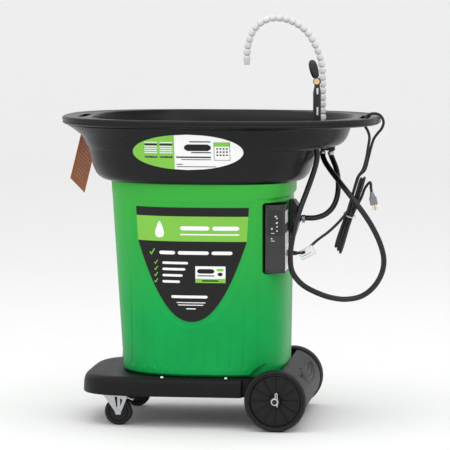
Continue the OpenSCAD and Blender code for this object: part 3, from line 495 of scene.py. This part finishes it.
outer = refine([with_shape(*v) for v in [
    (704, -320, 228, 238), (705, -332, 236, 244), (709, -346, 244, 250), (715, -356, 250, 254.5),
    (722, -363, 255, 258), (745, -374, 264, 265), (770, -380, 273, 271), (790, -384, 280, 275.5),
    (797, -386, 285, 277, 2.58), (799.5, -387, 296, 277.6, 2.5), (800.5, -388, 318, 278, 2.36),
    (803, -389, 336, 278.6, 2.28), (810, -393, 352, 280, 2.25), (822, -399, 363, 282, 2.25),
    (836, -410, 370, 285, 2.28), (850, -428, 375, 289, 2.34), (860, -443, 379, 293, 2.38),
]], 8) + [with_shape(*v) for v in [
    (864, -450, 384, 296, 2.42, -46), (866, -453, 437, 299, 2.55, -14), (866.5, -456.5, 452, 303, 2.6, -3),
    (868, -460, 459, 307, 2.6, 0), (871, -463.3, 463.3, 310, 2.6, 0), (874, -464, 464, 310.5, 2.6, 0),
    (876.5, -463, 463, 309, 2.6, 0), (878.5, -463.5, 463.5, 309.5, 2.6, 0), (881, -465, 465, 311, 2.6, 0),
    (884, -465.8, 465.8, 311.5, 2.6, 0), (887, -464, 464, 310, 2.6, 0), (889.2, -461, 461, 307, 2.6, 0),
    (890, -457, 457, 303.5, 2.6, 0), (889.6, -453, 453, 301, 2.6, 0),
]]
inner = refine([with_shape(*v) for v in [
    (888.5, -383, 391, 295.5, 2.55, -10), (886, -378, 386, 292, 2.5, -30), (880, -376, 382, 288.5, 2.5, MID),
    (872, -375, 376, 284.5, 2.4, MID), (851, -373, 366, 277, 2.3, MID), (829, -372, 355, 273, 2.25, MID),
    (816, -371, 343, 270.6, 2.25, MID), (809, -371, 328, 269.2, 2.3, MID), (807, -371, 306, 268.6, 2.42, MID),
    (805, -370.5, 284, 268, 2.56, MID), (798, -370, 276, 267, 2.6, MID), (776, -367, 266, 262.6, 2.6, MID),
    (752, -363, 256, 257, 2.6, MID), (730, -355, 249, 250.5, 2.6, MID), (719, -344, 241, 245.5, 2.6, MID),
    (713, -328, 230, 237, 2.6, MID), (711, -312, 220, 229, 2.6, MID),
]], 8)
COUNT = 220  # points in each ring of the sink
outer_rings = [outline(v, COUNT) for v in outer]
inner_rings = [outline(v, COUNT) for v in inner]

# the flat top of the rim, a little hollow between its two edges
top_a, top_b = outer_rings[-1], inner_rings[0]
width = np.linalg.norm(top_a - top_b, axis=1)
flat = []
for t, dip in ((0.12, 1.2), (0.25, 2.6), (0.5, 3.0), (0.75, 2.6), (0.9, 1.4)):
    ring = top_a * (1 - t) + top_b * t
    ring[:, 2] = 889.4 - dip * np.clip(width / 60, 0.25, 1)
    flat.append(ring)
sink = skin("sink_body", outer_rings + flat + inner_rings)
tools = []
for x in SLOT_PLACES:
    lo = (x - SLOT_WIDTH / 2, -SLOT_LENGTH / 2, 690)
    hi = (x + SLOT_WIDTH / 2, SLOT_LENGTH / 2, 950)
    tools.append(cutter("slot", lo, hi, 13.5, 8))
tools.append(rod("drain", DRAIN_HOLE, 44, 695, 720, 2))
for place in (SPOUT_HOLE, BRUSH_HOLE):
    tools.append(rod("hole", place, 11, 780, 830, 2, 48))
carve(sink, *tools)
piece(sink, "sink", replaces=("sink_basin",))


def boss(name, x, y):
    """A moulded collar on the shelf, with a soft foot."""
    profile = [(11.1, 806), (11.1, 812.4), (12, 813), (16.5, 813), (18, 811.6), (18.6, 809), (21, 807.2),
               (25, 806.6)]
    n = 64
    verts = [(x + r * math.cos(2 * math.pi * i / n), y + r * math.sin(2 * math.pi * i / n), z)
             for r, z in profile for i in range(n)]
    faces = [(j * n + i, (j + 1) * n + i, (j + 1) * n + (i + 1) % n, j * n + (i + 1) % n)
             for j in range(len(profile) - 1) for i in range(n)]
    return piece(mesh_object(name, verts, [f[::-1] for f in faces]), "sink")


boss("spout_collar", *SPOUT_HOLE)
boss("brush_collar", *BRUSH_HOLE)


def on_levels(levels):
    """A function that gives the front of a moulding: the point at x and z, lifted off it."""
    z_all = np.array([v[0] for v in levels])

    def surface(x, z, lift):
        v = [np.interp(z, z_all, [q[k] for q in levels]) for k in range(7)]
        _, x0, x1, hy, nl, nr, mid = v
        a, n = (mid - x0, nl) if x < mid else (x1 - mid, nr)
        u = min(abs(x - mid) / a, 0.999)
        y = hy * (1 - u ** n) ** (1 / n)
        gx = math.copysign(u ** (n - 1) / a, x - mid)
        gy = (y / hy) ** (n - 1) / hy
        g = math.hypot(gx, gy)
        return (x + lift * gx / g, -(y + lift * gy / g), z)

    return surface


sink_front = on_levels([v for v in outer if v[0] <= 862])


OVAL_X, OVAL_Z = -66, 799
OVAL_HALF_WIDTH, OVAL_HALF_HEIGHT = 159, 51


def oval(z):
    """The x range of the oval label at a height."""
    w = OVAL_HALF_WIDTH * math.sqrt(max(0.0, 1 - ((z - OVAL_Z) / OVAL_HALF_HEIGHT) ** 2))
    return OVAL_X - w, OVAL_X + w


def oval_part(lo, hi):
    """The stretch of the oval label between lo and hi, as a strip for patch()."""
    def span(z):
        a, b = oval(z)
        left = max(lo, a)
        return left, max(min(hi, b), left)

    return OVAL_Z - OVAL_HALF_HEIGHT, OVAL_Z + OVAL_HALF_HEIGHT, span, 0.9


marks("oval_white", "white", [oval_part(-103, 200)], sink_front, 40, 48, replaces=("sink_label",))
marks("oval_lime", "lime", [oval_part(-300, -103)], sink_front, 24, 48)

# ---------------------------------------------------------------- tank
TANK_SQUARE_LEFT, TANK_SQUARE_RIGHT = 2.4, 3.6
AXLE_X, AXLE_Z = 186, 89
ARCH_RADIUS = 104

# the label's shield: a curved foot up to its shoulder, and sides that flare up to its top
LABEL_X, LABEL_HALF, LABEL_FLARE = -61, 160, 6
LABEL_FOOT, LABEL_SHOULDER, LABEL_TOP = 307, 540, 638
LABEL_POWER = 2.1
FOOT_HEIGHT, SIDE_HEIGHT = LABEL_SHOULDER - LABEL_FOOT, LABEL_TOP - LABEL_SHOULDER


def tank_level(z, x0, x1, hy):
    """A level of the tank for outline()."""
    return (z, x0, x1, hy, TANK_SQUARE_LEFT, TANK_SQUARE_RIGHT, (x0 + x1) / 2)


tank_levels = refine([tank_level(*v) for v in [
    (146, -268, 180, 206), (147.5, -277, 189, 215), (151, -283, 194.5, 221), (158, -286, 197, 224.6),
    (166, -288, 198.3, 226.3), (412, -303.5, 202.2, 232.2), (640, -317.8, 205.7, 237.5),
    (657, -318.8, 206, 238), (660, -319.1, 207.4, 238.4), (664, -319.6, 211.2, 239.5),
    (667, -320, 213, 240), (673, -320.4, 213.6, 240), (704, -322, 214, 240),
]], 5)
# the tank's upright flutes: x and top
FLUTES = [(-241, 444), (-204, 362), (-172, 311), (-135, 279), (-100, 260), (-62, 253), (-22, 258),
          (17, 273), (52, 305), (91, 359), (131, 456)]


def smoothstep(lo, hi, v):
    """0 below lo, 1 above hi and a soft step between."""
    t = np.clip((v - lo) / (hi - lo), 0, 1)
    return t * t * (3 - 2 * t)


def label_reach(x, z):
    """How far a point of the tank's front lies outside the label's outline, in mm."""
    x, z = np.asarray(x, float), np.asarray(z, float)
    away = np.abs(x - LABEL_X)
    foot = LABEL_FOOT + FOOT_HEIGHT * (away / LABEL_HALF) ** LABEL_POWER
    slope = FOOT_HEIGHT * LABEL_POWER / LABEL_HALF * (away / LABEL_HALF) ** (LABEL_POWER - 1)
    side = away - (LABEL_HALF + LABEL_FLARE * np.clip((z - LABEL_SHOULDER) / SIDE_HEIGHT, 0, 1))
    return np.maximum(np.maximum((foot - z) / np.sqrt(1 + slope ** 2), side), z - LABEL_TOP)


def relief(x, z, front):
    """How far the tank's wall stands in from its outline: the label's bed and the flutes."""
    x, z = np.asarray(x, float), np.asarray(z, float)
    into = np.zeros(np.broadcast(x, z).shape)
    if front:
        reach = label_reach(x, z)
        into = into + 3.2 * (1 - smoothstep(9, 17, reach))
        into = into - 1.3 * np.exp(-((reach - 21) / 5.5) ** 2)
    for fx, top in FLUTES:
        across = np.clip(1 - (np.abs(x - fx) / 5.6) ** 2, 0, 1)
        along = smoothstep(0, 26, top - z) * smoothstep(0, 5, z - 172)
        into = into + 2.3 * across * along
        drop = np.exp(-((x - fx) / 4.2) ** 2 - ((z - 166) / 5.5) ** 2)
        into = into - 1.1 * drop
    return into


def tank_ring(level, count=620):
    """The tank's outline at one level, with its relief taken off the front and the back."""
    ring = outline(level, count)
    out = outward(ring)
    z = level[0]
    for front in (True, False):
        side = (out[:, 1] < -0.2) if front else (out[:, 1] > 0.2)
        into = relief(ring[:, 0], np.full(count, z), front)
        fade = smoothstep(0.2, 0.55, np.abs(out[:, 1]))
        ring = ring - out * np.where(side, into * fade, 0.0)[:, None]
    return ring


rows = []
heights = np.array([v[0] for v in tank_levels])
columns = list(zip(*tank_levels))
for z in np.unique(np.round(np.concatenate([heights, np.arange(150, 704, 3.2)]), 2)):
    rows.append(tank_ring([z] + [np.interp(z, heights, column) for column in columns[1:]]))
tank = skin("tank_body", rows)
tools = [cutter("recess", (141, -420, 445), (420, -88, 650), 9, 6)]
for side in (-1, 1):
    lo, hi = sorted((side * 190, side * 420))
    tools.append(rod("arch", (AXLE_X, AXLE_Z), ARCH_RADIUS, lo, hi, 1, 128))
carve(tank, *tools)
piece(tank, "tank", replaces=("tank_shell",))


on_tank = on_levels(tank_levels)


def tank_front(x, z, lift):
    """The tank's front wall in the label's bed, lifted off it."""
    base = on_tank(x, z, 0.0)
    ahead = on_tank(x, z, 1.0)
    d = [b - a for a, b in zip(base, ahead)]
    k = lift - float(relief(x, z, True))
    return tuple(a + k * v for a, v in zip(base, d))


def shield(z):
    """The x range of the label's shield at a height."""
    if z >= LABEL_SHOULDER:
        w = LABEL_HALF + LABEL_FLARE * (z - LABEL_SHOULDER) / SIDE_HEIGHT
    else:
        w = LABEL_HALF * (max(z - LABEL_FOOT, 0.0) / FOOT_HEIGHT) ** (1 / LABEL_POWER)
    return LABEL_X - w, LABEL_X + w


# the label: a dark shield with a bright band, and plain bars where words would be
marks("shield_low", "ink", [(LABEL_FOOT + 0.5, LABEL_SHOULDER, shield, 0.9)], tank_front,
      36, 60, replaces=("tank_label",))
marks("shield_bar", "ink", [(612, LABEL_TOP - 0.5, shield, 0.9)], tank_front, 36, 5)
marks("shield_band", "lime", [(LABEL_SHOULDER, 612, shield, 0.9)], tank_front, 36, 12)
bars = [bar(-93, -8, 572, 584, 1.3), bar(0, 78, 572, 584, 1.3), bar(-93, 78, 558, 562, 1.3),
        bar(-155, -108, 502, 512, 1.3), bar(-100, -10, 502, 512, 1.3), bar(-2, 58, 502, 512, 1.3)]
bars += [bar(-146, -70 - 8 * k, 474 - 18 * k, 481 - 18 * k, 1.3) for k in range(4)]
bars += [bar(-120, -14, 376, 384, 1.3), bar(-104, -20, 362, 364.5, 1.3), bar(-100, -26, 355, 357.5, 1.3),
         bar(-76, -48, 344, 347, 1.3)]
marks("label_bars", "white", bars, tank_front, 12, 6)


def tick(x, z, s):
    """A small check mark made of two slanted strips."""
    def short(q):
        return x - s * 0.5 - (q - z) * 0.6, x - s * 0.2 - (q - z) * 0.6

    def long(q):
        return x + (q - z) * 0.6, x + s * 0.3 + (q - z) * 0.6

    return [(z - s * 0.5, z + s * 0.1, short, 1.3), (z - s * 0.5, z + s * 0.8, long, 1.3)]


ticks = tick(-178, 507, 13)
for k in range(4):
    ticks += tick(-166, 478 - 18 * k, 9)
marks("label_ticks", "lime", ticks, tank_front, 2, 6)


def drop(x, z, h):
    """A plain drop of water."""
    def span(q):
        t = (q - z) / h + 0.5
        w = 0.34 * h * math.sqrt(max(0.0, math.sin(math.pi * min(1.0, t ** 0.75)))) * (1 - 0.55 * t)
        return x - w, x + w

    return z - h / 2, z + h / 2, span, 1.3


marks("label_drop", "white", [drop(-154, 574, 48)], tank_front, 10, 24)
marks("label_card", "white", [bar(-49, 38, 421, 469, 1.3, False)], tank_front, 12, 6)
marks("label_card_foot", "lime", [bar(-49, 38, 421, 433, 1.6, False), bar(12, 33, 455, 462, 1.6)],
      tank_front, 12, 4)
marks("label_card_bars", "ink", [bar(-44, 6, 448, 461, 1.6), bar(-44, 6, 440, 443, 1.6),
                                 bar(15, 30, 441, 451, 1.6), bar(-30, 18, 425, 429, 1.9)], tank_front, 8, 4)

# the oval label on the sink
small = [bar(-190 + 44 * i, -152 + 44 * i, 826 - 6 * j, 828.4 - 6 * j, 1.3)
         for i in range(2) for j in range(8) if j not in (1, 6)]
marks("oval_lines", "white", small, sink_front, 6, 3)
dark = [bar(-190 + 44 * i, -152 + 44 * i, 818.5 - 36 * j, 823 - 36 * j, 1.3)
        for i in range(2) for j in range(2)]
dark += [bar(-60, 2, 828, 831, 1.3), bar(-75, 2, 803, 822, 1.3), bar(-55, 2, 797, 800, 1.3),
         bar(-99, 2, 783, 787, 1.3), bar(-84, 2, 777, 779, 1.3), bar(-98, -80, 763, 765.5, 1.3),
         bar(-98, 16, 756.5, 758.5, 1.3)]
marks("oval_bars", "ink", dark, sink_front, 10, 4)
marks("oval_sheet_edge", "grey", [bar(10, 56, 776, 828, 1.1, False)], sink_front, 10, 6)
marks("oval_sheet", "white", [bar(11.5, 54.5, 777.5, 826, 1.5, False)], sink_front, 10, 6)
marks("oval_sheet_top", "lime", [bar(11.5, 54.5, 816, 828, 1.8, False)], sink_front, 10, 3)
grid = [bar(17 + 9 * i, 23 + 9 * i, 807 - 9 * j, 812 - 9 * j, 1.9) for i in range(4) for j in range(3)]
marks("oval_sheet_days", "ink", grid, sink_front, 4, 4)

KEYPAD_Y, BOX_SIDE_X = -200.8, 205


# the control box: plain icon marks on the keypad, and blank films on its right side
def box_front(x, z, lift):
    return (x, KEYPAD_Y - lift, z)


def box_side(y, z, lift):
    return (BOX_SIDE_X + lift, y, z)


icons = [bar(176, 182, 611, 613.4, 0.2), bar(178, 180, 607.5, 611, 0.2), bar(179, 185, 591, 593.2, 0.2),
         bar(165, 171, 574, 577, 0.2), bar(166.5, 169.5, 578, 580.4, 0.2), bar(165, 176, 562.3, 563.7, 0.2),
         bar(165, 170, 546, 549, 0.2), bar(165, 176, 540.3, 541.7, 0.2)]
marks("keypad_icons", "white", icons, box_front, 6, 3)
marks("box_film_upper", "white", [bar(-187, -111, 590, 626, 0.25, False)], box_side, 4, 4)
marks("box_film_lower", "white", [bar(-186, -92, 452, 562, 0.25, False)], box_side, 4, 4)


# painted highlights on the brush handle: pale strips in its pockets that stand for glints on the shiny handle
for z0, z1 in ((897.2, 920.8), (957.2, 974.8)):
    highlight_strip = cutter("brush_painted_highlight", (286.2, -100.3, z0), (291.8, -99.3, z1), 0.3)
    settle(highlight_strip)
    piece(highlight_strip, "white_part", body="brush")


# faint lines on the card that hangs from the rim
CARD_TOP = (-431, 150, 850)


def card_face(a, b, lift):
    """The point a across and b up the leaning, turned card, lifted off it."""
    lean, turn = math.radians(-29), math.radians(72)
    across = a * math.cos(lean) - b * math.sin(lean)
    up = a * math.sin(lean) + b * math.cos(lean)
    return (CARD_TOP[0] + across * math.cos(turn) + lift * math.sin(turn),
            CARD_TOP[1] + across * math.sin(turn) - lift * math.cos(turn), CARD_TOP[2] + up)


lines = [bar(4, 82 - 9 * (k % 3), -158 + 11 * k, -155 + 11 * k, 0.5) for k in range(11)]
lines.append(bar(18, 70, -30, -20, 0.5))
marks("card_lines", "card_line", lines, card_face, 6, 2, body="tag")


# plain bars and an edge line on the label that is folded over the lead
CORD_TAG = (262, -120.6, 501)


def tag_face(u, v, lift):
    """The point u along and v across the folded label's front, lifted off it."""
    lean = math.radians(27)
    return (CORD_TAG[0] + u * math.cos(lean) - v * math.sin(lean), CORD_TAG[1] - lift,
            CORD_TAG[2] + u * math.sin(lean) + v * math.cos(lean))


marks("cord_tag_bars", "ink", [bar(-17, -3, 1, 6, 0.3), bar(-17, 12, -5, -4, 0.3)], tag_face, 6, 2)
marks("cord_tag_edges", "plug", [bar(-22.5, 22.5, 13.3, 14, 0.3), bar(-22.5, 22.5, -13.6, -12.9, 0.3),
                                 bar(-22.5, -21.8, -13.6, 14, 0.3, False),
                                 bar(21.8, 22.5, -13.6, 14, 0.3, False)], tag_face, 4, 2)

# ---------------------------------------------------------------- dolly
DECK_SQUARE_LEFT, DECK_SQUARE_RIGHT = 4.2, 8.0
DECK_MID = -75  # x of the deck's widest place
HEEL_RADIUS, HEEL_HALF, HEEL_EDGE = 84, 236, 10


def deck_level(z, x0, x1, hy):
    """A level of the dolly's deck for outline()."""
    return (z, x0, x1, hy, DECK_SQUARE_LEFT, DECK_SQUARE_RIGHT, DECK_MID)


deck = refine([deck_level(*v) for v in [
    (92.2, -393, 236, 248), (92, -394.5, 239, 250), (93.5, -395.5, 240, 251), (98, -395.5, 240, 251.5),
    (118, -394.5, 240, 252), (128, -393, 240, 251.5), (136, -390, 240, 249), (141, -385.5, 240, 244.5),
    (144.5, -379, 240, 238.5), (146, -370, 236, 231), (146, -340, 220, 205),
]], 5)
body = skin("deck", [outline(v, 420) for v in deck])
tools = [cutter("well_near", (84, -400, 0), (500, -236, 400), 7, 5),
         cutter("well_far", (84, 236, 0), (500, 400, 400), 7, 5)]
under = refine([deck_level(*v) for v in [
    (80, -389, 234, 245), (132, -387, 234, 244), (138, -380, 230, 238),
]], 12)
hollow = skin("hollow", [outline(v, 200) for v in under])
carve(hollow, cutter("keep_near", (78, -400, 0), (500, -230, 400), 0),
      cutter("keep_far", (78, 230, 0), (500, 400, 400), 0))
tools.append(hollow)
carve(body, *tools)
piece(body, "dolly", replaces=("dolly_base",))

# the heel: a rounded end over the axle, with raised tread ribs
HEEL_STRAIGHT = HEEL_HALF - HEEL_EDGE
rounding = [230.5, 233.6, 235.4, HEEL_HALF]
widths = np.concatenate([[-v for v in reversed(rounding)],
                         np.linspace(-HEEL_STRAIGHT, HEEL_STRAIGHT, 302), rounding])


def heel_radius(y, a):
    """The heel's radius at y and at angle a in degrees: soft ends and four curved ribs."""
    edge = max(0.0, abs(y) - HEEL_STRAIGHT)
    r = HEEL_RADIUS - (HEEL_EDGE - math.sqrt(max(0.0, HEEL_EDGE ** 2 - edge * edge)))
    for k in range(4):
        reach = 150 - 28 * k
        centre = 14 + 11 * k + 26 * (abs(y) / 150) ** 2.4
        fade = min(1.0, max(0.0, (reach + 10 - abs(y)) / 6))
        r += 2.8 * fade * math.exp(-((a - centre) / 2.4) ** 2)
    return r


verts = []
angles = np.linspace(-26, 80, 120)
for y in widths:
    for a in angles:
        r = heel_radius(y, a)
        verts.append((AXLE_X + r * math.cos(math.radians(a)), y, AXLE_Z + r * math.sin(math.radians(a))))
n = len(angles)
faces = [(i * n + j, (i + 1) * n + j, (i + 1) * n + j + 1, i * n + j + 1)
         for i in range(len(widths) - 1) for j in range(n - 1)]
for end in (0, len(widths) - 1):
    hub = len(verts)
    verts.append((AXLE_X + 10, widths[end], AXLE_Z))
    ring = [end * n + j for j in range(n)]
    for p, q in zip(ring, ring[1:]):
        faces.append((hub, p, q) if end == 0 else (hub, q, p))
heel = mesh_object("heel", verts, faces, 70.0)
piece(heel, "dolly")

# ---------------------------------------------------------------- cords in place
piece(tubes["supply_hose_tube"], "hose", replaces=("supply_hose",))
piece(tubes["brush_hose_tube"], "hose", replaces=("brush_hose",))
piece(tubes["power_lead"], "lead", replaces=("power_cord", "cord_hank"))

# ---------------------------------------------------------------- room and light
# a pale floor that turns up into a backdrop, in metres
FLOOR_FRONT, FLOOR_BACK, SWEEP_RADIUS = -14.0, 9.5, 3.0
WALL_TOP, HALF_WIDTH = 12.0, 16.0
sweep = [(FLOOR_FRONT, 0.0), (FLOOR_BACK, 0.0)]
sweep += [(FLOOR_BACK + SWEEP_RADIUS * math.sin(a), SWEEP_RADIUS - SWEEP_RADIUS * math.cos(a))
          for a in np.linspace(0.1, math.pi / 2, 16)]
sweep += [(FLOOR_BACK + SWEEP_RADIUS, WALL_TOP)]
floor_mesh = bpy.data.meshes.new("floor")
floor_mesh.from_pydata([(x, y, z) for y, z in sweep for x in (-HALF_WIDTH, HALF_WIDTH)], [],
                       [(2 * i, 2 * i + 1, 2 * i + 3, 2 * i + 2) for i in range(len(sweep) - 1)])
floor_mesh.polygons.foreach_set("use_smooth", [True] * len(floor_mesh.polygons))
floor = link(bpy.data.objects.new("floor", floor_mesh))
floor_mesh.materials.append(shader("floor_paint", (0.90, 0.90, 0.90), 0.8, 60, 0.05, 0.01, vary=0.004))

world = bpy.data.worlds.new("room")
world.use_nodes = True
world.node_tree.nodes["Background"].inputs["Color"].default_value = (1.0, 1.0, 1.0, 1.0)
world.node_tree.nodes["Background"].inputs["Strength"].default_value = 0.95
bpy.context.scene.world = world


def softbox(name, place, aim, size, watts):
    """A rectangular lamp at a place, turned to a point."""
    data = bpy.data.lights.new(name, "AREA")
    data.shape = "RECTANGLE"
    data.size, data.size_y = size
    data.energy = watts
    o = link(bpy.data.objects.new(name, data))
    o.location = place
    o.rotation_euler = (Vector(aim) - Vector(place)).to_track_quat("-Z", "Y").to_euler()
    return o


softbox("top_box", (0.2, -0.9, 4.2), (0, 0, 0.7), (4.6, 4.0), 60)
softbox("front_box", (0.9, -4.2, 3.4), (0, 0.2, 0.85), (2.0, 1.4), 18)
softbox("left_box", (-2.8, -2.2, 1.9), (0, 0, 0.6), (1.2, 1.8), 7)
bpy.context.scene.view_settings.view_transform = "Standard"
